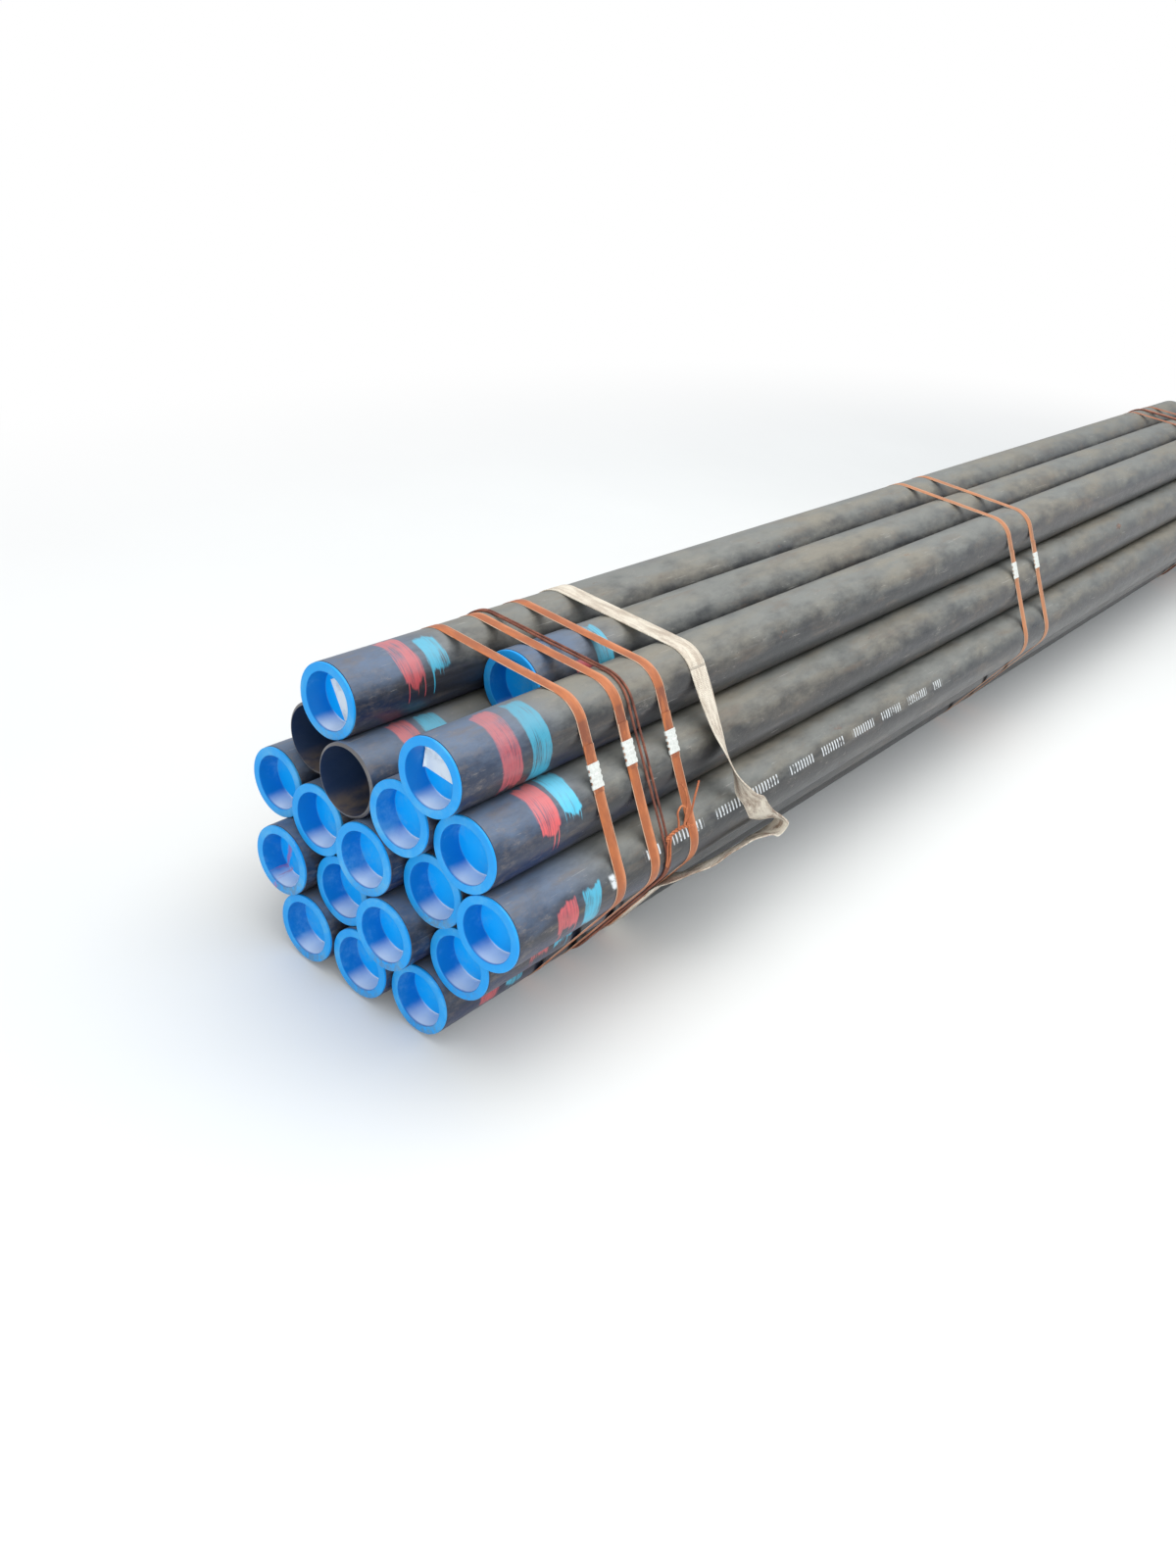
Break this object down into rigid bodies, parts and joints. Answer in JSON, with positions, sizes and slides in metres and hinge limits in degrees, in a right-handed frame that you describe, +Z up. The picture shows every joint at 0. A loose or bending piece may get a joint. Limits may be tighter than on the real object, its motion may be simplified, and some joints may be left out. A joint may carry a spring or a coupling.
{
  "type": "bundle of steel pipes",
  "caption": "Hexagonal bundle of black varnished steel line pipes with blue plastic end caps, orange steel straps, tie wires and a webbing sling.",
  "frame": {"origin": "on the floor under the middle of the bundle, at the lowest point of the tie wires", "axes": "+X along the pipes from the capped near ends to the far ends, +Z up; the near side of the picture is -Y"},
  "size_m": [6.2306, 0.854, 0.7639],
  "materials": {
    "varnished_pipe": "dusty black varnish with light rust",
    "cap_plastic": "satin azure moulded plastic",
    "strap_paint": "orange paint, worn",
    "seal_zinc": "bright zinc",
    "rusty_wire": "red-brown rust",
    "webbing": "woven, dusty",
    "label_paper": "matt, blank"
  },
  "bodies": {
    "root": {"pipe_row_1_1": "varnished_pipe", "pipe_row_1_2": "varnished_pipe", "pipe_row_1_3": "varnished_pipe", "pipe_row_2_1": "varnished_pipe", "pipe_row_2_2": "varnished_pipe", "pipe_row_2_3": "varnished_pipe", "pipe_row_2_4": "varnished_pipe", "pipe_row_3_1": "varnished_pipe", "pipe_row_3_2": "varnished_pipe", "pipe_row_3_3": "varnished_pipe", "pipe_row_3_4": "varnished_pipe", "pipe_row_3_5": "varnished_pipe", "pipe_row_4_1": "varnished_pipe", "pipe_row_4_2": "varnished_pipe", "pipe_row_4_3": "varnished_pipe", "pipe_row_4_4": "varnished_pipe", "pipe_row_5_1": "varnished_pipe", "pipe_row_5_2": "varnished_pipe", "pipe_row_5_3": "varnished_pipe", "end_caps": "cap_plastic", "strap_near_1": "strap_paint", "strap_near_2": "strap_paint", "strap_near_3": "strap_paint", "strap_middle_1": "strap_paint", "strap_middle_2": "strap_paint", "strap_far_1": "strap_paint", "strap_far_2": "strap_paint", "strap_far_3": "strap_paint", "seal_near_1": "seal_zinc", "seal_near_2": "seal_zinc", "seal_near_3": "seal_zinc", "seal_middle_1": "seal_zinc", "seal_middle_2": "seal_zinc", "seal_far_1": "seal_zinc", "seal_far_2": "seal_zinc", "seal_far_3": "seal_zinc", "tie_wire_near": "rusty_wire", "tie_wire_far": "rusty_wire", "sling": "webbing"}
  },
  "joints": []
}
